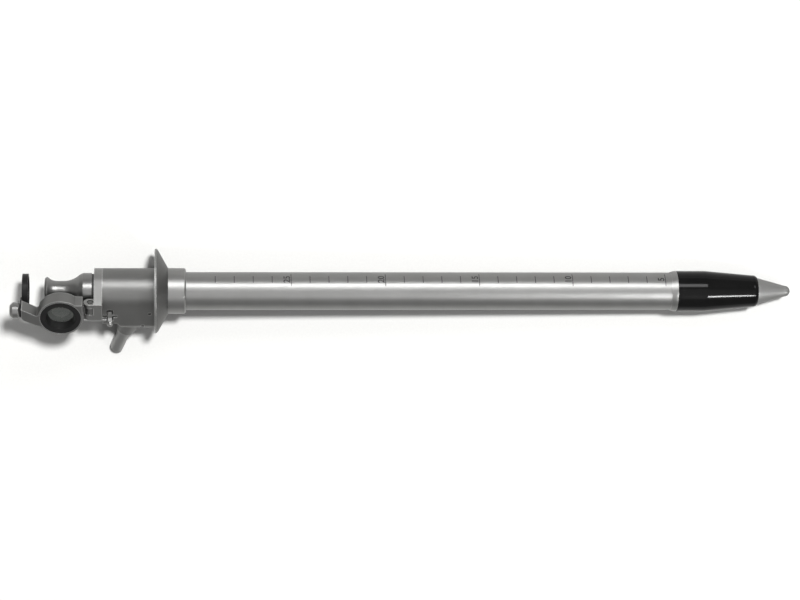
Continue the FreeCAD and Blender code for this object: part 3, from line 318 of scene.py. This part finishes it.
# Black tip
# Turned from an insulating plastic and polished: deep black with a narrow clear sheen. The few
# faint rings left by the lathe are drawn about 1 mm apart.
tip_black, tip_tree, tip_shader = new_material("polished_black_plastic")
tip_space = add_grain_space(tip_tree)
tip_lines = add_node(tip_tree, "ShaderNodeMapping", {
    "Vector": tip_space, "Scale": (0.9 * per_mm, 0.012 * per_mm, 0.012 * per_mm),
})
tip_rings = add_node(tip_tree, "ShaderNodeTexNoise", {
    "Vector": tip_lines.outputs["Vector"], "Scale": 1.0,
})
tip_haze = add_node(tip_tree, "ShaderNodeTexNoise", {
    "Vector": tip_space, "Scale": 0.12 * per_mm, "Detail": 4.0,
})
tip_tone = add_node(tip_tree, "ShaderNodeMix", {
    "Factor": tip_haze.outputs["Fac"], 6: linear("#020202"), 7: linear("#050505"),
}, data_type="RGBA")
tip_rough = add_node(tip_tree, "ShaderNodeMapRange", {
    "Value": tip_haze.outputs["Fac"], "To Min": 0.10, "To Max": 0.18,
})
tip_edge = add_node(tip_tree, "ShaderNodeBevel", {"Radius": 0.0003}, samples=4)
tip_bump = add_node(tip_tree, "ShaderNodeBump", {
    "Height": tip_rings.outputs["Fac"], "Normal": tip_edge.outputs["Normal"],
    "Strength": 0.2, "Distance": 0.000008,
})
tip_tree.links.new(tip_tone.outputs[2], tip_shader.inputs["Base Color"])
tip_tree.links.new(tip_rough.outputs["Result"], tip_shader.inputs["Roughness"])
tip_tree.links.new(tip_bump.outputs["Normal"], tip_shader.inputs["Normal"])
tip_shader.inputs["IOR"].default_value = 1.4
tip_shader.inputs["Specular IOR Level"].default_value = 0.12
dress(tip_black, "insulating_tip")

# Window bezel and loupe rim
# Steel stoved with a black semi-matt enamel, whose gloss is a little uneven in patches of 4 mm.
black_enamel, enamel_tree, enamel_shader = new_material("black_stoved_enamel")
enamel_haze = add_node(enamel_tree, "ShaderNodeTexNoise", {
    "Vector": add_grain_space(enamel_tree), "Scale": 0.26 * per_mm, "Detail": 5.0,
})
enamel_tone = add_node(enamel_tree, "ShaderNodeMix", {
    "Factor": enamel_haze.outputs["Fac"], 6: linear("#040404"), 7: linear("#090909"),
}, data_type="RGBA")
enamel_rough = add_node(enamel_tree, "ShaderNodeMapRange", {
    "Value": enamel_haze.outputs["Fac"], "To Min": 0.34, "To Max": 0.5,
})
enamel_edge = add_node(enamel_tree, "ShaderNodeBevel", {"Radius": 0.0002}, samples=4)
enamel_bump = add_node(enamel_tree, "ShaderNodeBump", {
    "Height": enamel_haze.outputs["Fac"], "Normal": enamel_edge.outputs["Normal"],
    "Strength": 0.2, "Distance": 0.00002,
})
enamel_tree.links.new(enamel_tone.outputs[2], enamel_shader.inputs["Base Color"])
enamel_tree.links.new(enamel_rough.outputs["Result"], enamel_shader.inputs["Roughness"])
enamel_tree.links.new(enamel_bump.outputs["Normal"], enamel_shader.inputs["Normal"])
enamel_shader.inputs["Specular IOR Level"].default_value = 0.16
dress(black_enamel, "window_bezel", "loupe_rim")

# Seals
# Black rubber washer under the handle, O-ring on the plug and gasket behind the window. The grain
# is too fine to show, and is drawn about 1 mm wide to dull the surface.
black_rubber, rubber_tree, rubber_shader = new_material("black_rubber")
rubber_grain = add_node(rubber_tree, "ShaderNodeTexNoise", {
    "Vector": add_grain_space(rubber_tree), "Scale": 0.9 * per_mm, "Detail": 3.0,
})
rubber_tone = add_node(rubber_tree, "ShaderNodeMix", {
    "Factor": rubber_grain.outputs["Fac"], 6: linear("#0e0e0e"), 7: linear("#1e1e1d"),
}, data_type="RGBA")
rubber_bump = add_node(rubber_tree, "ShaderNodeBump", {
    "Height": rubber_grain.outputs["Fac"], "Strength": 0.4, "Distance": 0.00003,
})
rubber_tree.links.new(rubber_tone.outputs[2], rubber_shader.inputs["Base Color"])
rubber_tree.links.new(rubber_bump.outputs["Normal"], rubber_shader.inputs["Normal"])
rubber_shader.inputs["Roughness"].default_value = 0.62
dress(black_rubber, "obturator_seal", "obturator_oring", "window_gasket")

# Window glass and loupe lens
# Slightly domed optical glass with a grey tint and a trace of haze in patches of 3 mm. A gasket
# seats the window's glass behind its bezel, and a spring ring holds the lens.
clear_glass, glass_tree, glass_shader = new_material("optical_glass")
glass_haze = add_node(glass_tree, "ShaderNodeTexNoise", {
    "Vector": add_grain_space(glass_tree), "Scale": 0.3 * per_mm, "Detail": 3.0,
})
glass_rough = add_node(glass_tree, "ShaderNodeMapRange", {
    "Value": glass_haze.outputs["Fac"], "To Min": 0.0, "To Max": 0.06,
})
glass_tree.links.new(glass_rough.outputs["Result"], glass_shader.inputs["Roughness"])
glass_shader.inputs["Base Color"].default_value = linear("#a2a6a3")
glass_shader.inputs["Transmission Weight"].default_value = 1.0
glass_shader.inputs["IOR"].default_value = 1.52
join_facets("window_glass", clear_glass, "window")
join_facets("loupe_lens", clear_glass, "loupe")

# Light fibres
# A bundle of fine glass fibres, cut and polished flush: pale and mottled by the fibres' ends,
# which are drawn 0.3 mm wide, coarser than they are.
fibre_ends, fibre_tree, fibre_shader = new_material("polished_fibre_ends")
fibre_cells = add_node(fibre_tree, "ShaderNodeTexVoronoi", {
    "Vector": add_grain_space(fibre_tree), "Scale": 3.5 * per_mm,
})
fibre_tone = add_node(fibre_tree, "ShaderNodeMix", {
    "Factor": fibre_cells.outputs["Distance"], 6: linear("#d9d6c6"), 7: linear("#8f8c7e"),
}, data_type="RGBA")
fibre_tree.links.new(fibre_tone.outputs[2], fibre_shader.inputs["Base Color"])
fibre_shader.inputs["Roughness"].default_value = 0.2
dress(fibre_ends, "fibre_bundle", "light_ring")

# Centimetre scale
# The marks are cut into the tube and filled with a dark grey paste, and every fifth is long. The
# numerals 5 to 25 stand beside the long marks, towards the head, and read from the near side up.
scale_grey, scale_tree, scale_shader = new_material("dark_filled_engraving")
scale_grain = add_node(scale_tree, "ShaderNodeTexNoise", {
    "Vector": add_grain_space(scale_tree), "Scale": 1.5 * per_mm, "Detail": 3.0,
})
scale_tone = add_node(scale_tree, "ShaderNodeMix", {
    "Factor": scale_grain.outputs["Fac"], 6: linear("#101010"), 7: linear("#232323"),
}, data_type="RGBA")
scale_tree.links.new(scale_tone.outputs[2], scale_shader.inputs["Base Color"])
scale_shader.inputs["Roughness"].default_value = 0.7
scale_shader.inputs["Specular IOR Level"].default_value = 0.2
tube_radius = 0.010
scale_start = 0.0007
mark_middle = math.radians(9.3)
long_sweep = math.radians(48)
short_sweep = math.radians(27)
mark_width = 0.0004
paste_thickness = 0.00005
paste_sink = 0.00003
numeral_size = 0.0048
numeral_boldness = 0.0001
numeral_thickness = 0.00002
numeral_lift = 0.00001
numeral_gap = 0.0007
strip_width = 0.0004


def around_tube(shape, away):
    """Wrap a flat shape round the tube: x is along the sheath, y round it and z out of it."""
    for vertex in shape.verts:
        turn = mark_middle + vertex.co.y / tube_radius
        radius = tube_radius + away + vertex.co.z
        vertex.co = Vector((vertex.co.x, -radius * math.sin(turn), radius * math.cos(turn)))


def add_piece(name, shape, material, body):
    """Make a finished shape, given in the instrument's own frame, into a piece on a body."""
    bmesh.ops.transform(shape, matrix=lie, verts=shape.verts)
    bmesh.ops.recalc_face_normals(shape, faces=shape.faces)
    mesh = bpy.data.meshes.new(name)
    shape.to_mesh(mesh)
    shape.free()
    mesh.materials.append(material)
    piece = bpy.data.objects.new(name, mesh)
    bpy.context.collection.objects.link(piece)
    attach(piece, body)


paste = bmesh.new()
for centimetre in range(5, 30):
    place = -centimetre / 100 - scale_start
    sweep = long_sweep if centimetre % 5 == 0 else short_sweep
    bar = bmesh.ops.create_cube(paste, size=1.0, matrix=(
        Matrix.Translation((place, 0, 0))
        @ Matrix.Diagonal((mark_width, sweep * tube_radius, paste_thickness, 1))
    ))
    edges = {edge for vertex in bar["verts"] for edge in vertex.link_edges}
    along = [edge for edge in edges if abs(edge.verts[0].co.y - edge.verts[1].co.y) > 0.001]
    bmesh.ops.subdivide_edges(paste, edges=along, cuts=9, use_grid_fill=True)
around_tube(paste, -paste_sink)
add_piece("scale_marks", paste, scale_grey, "scope")

for centimetre in range(5, 30, 5):
    curve = bpy.data.curves.new("numeral", "FONT")
    curve.body = str(centimetre)
    curve.size = numeral_size
    curve.offset = numeral_boldness
    curve.align_x = "CENTER"
    curve.extrude = numeral_thickness
    text = bpy.data.objects.new("numeral", curve)
    bpy.context.collection.objects.link(text)
    depsgraph = bpy.context.evaluated_depsgraph_get()
    flat = bpy.data.meshes.new_from_object(text.evaluated_get(depsgraph))
    bpy.data.objects.remove(text)
    digits = bmesh.new()
    digits.from_mesh(flat)
    bmesh.ops.remove_doubles(digits, verts=digits.verts, dist=1e-7)
    # Narrow strips let the digits bend round the tube
    for step in range(-8, 9):
        bmesh.ops.bisect_plane(
            digits, geom=digits.verts[:] + digits.edges[:] + digits.faces[:],
            plane_co=(step * strip_width, 0, 0), plane_no=(1, 0, 0),
        )
    # The reading direction runs up the tube, and the digits' tops point to the head
    foot = -centimetre / 100 - scale_start - numeral_gap
    for vertex in digits.verts:
        across, up, out = vertex.co
        vertex.co = Vector((foot - up, -across, out))
    around_tube(digits, numeral_lift)
    add_piece(f"numeral_{centimetre}", digits, scale_grey, "scope")
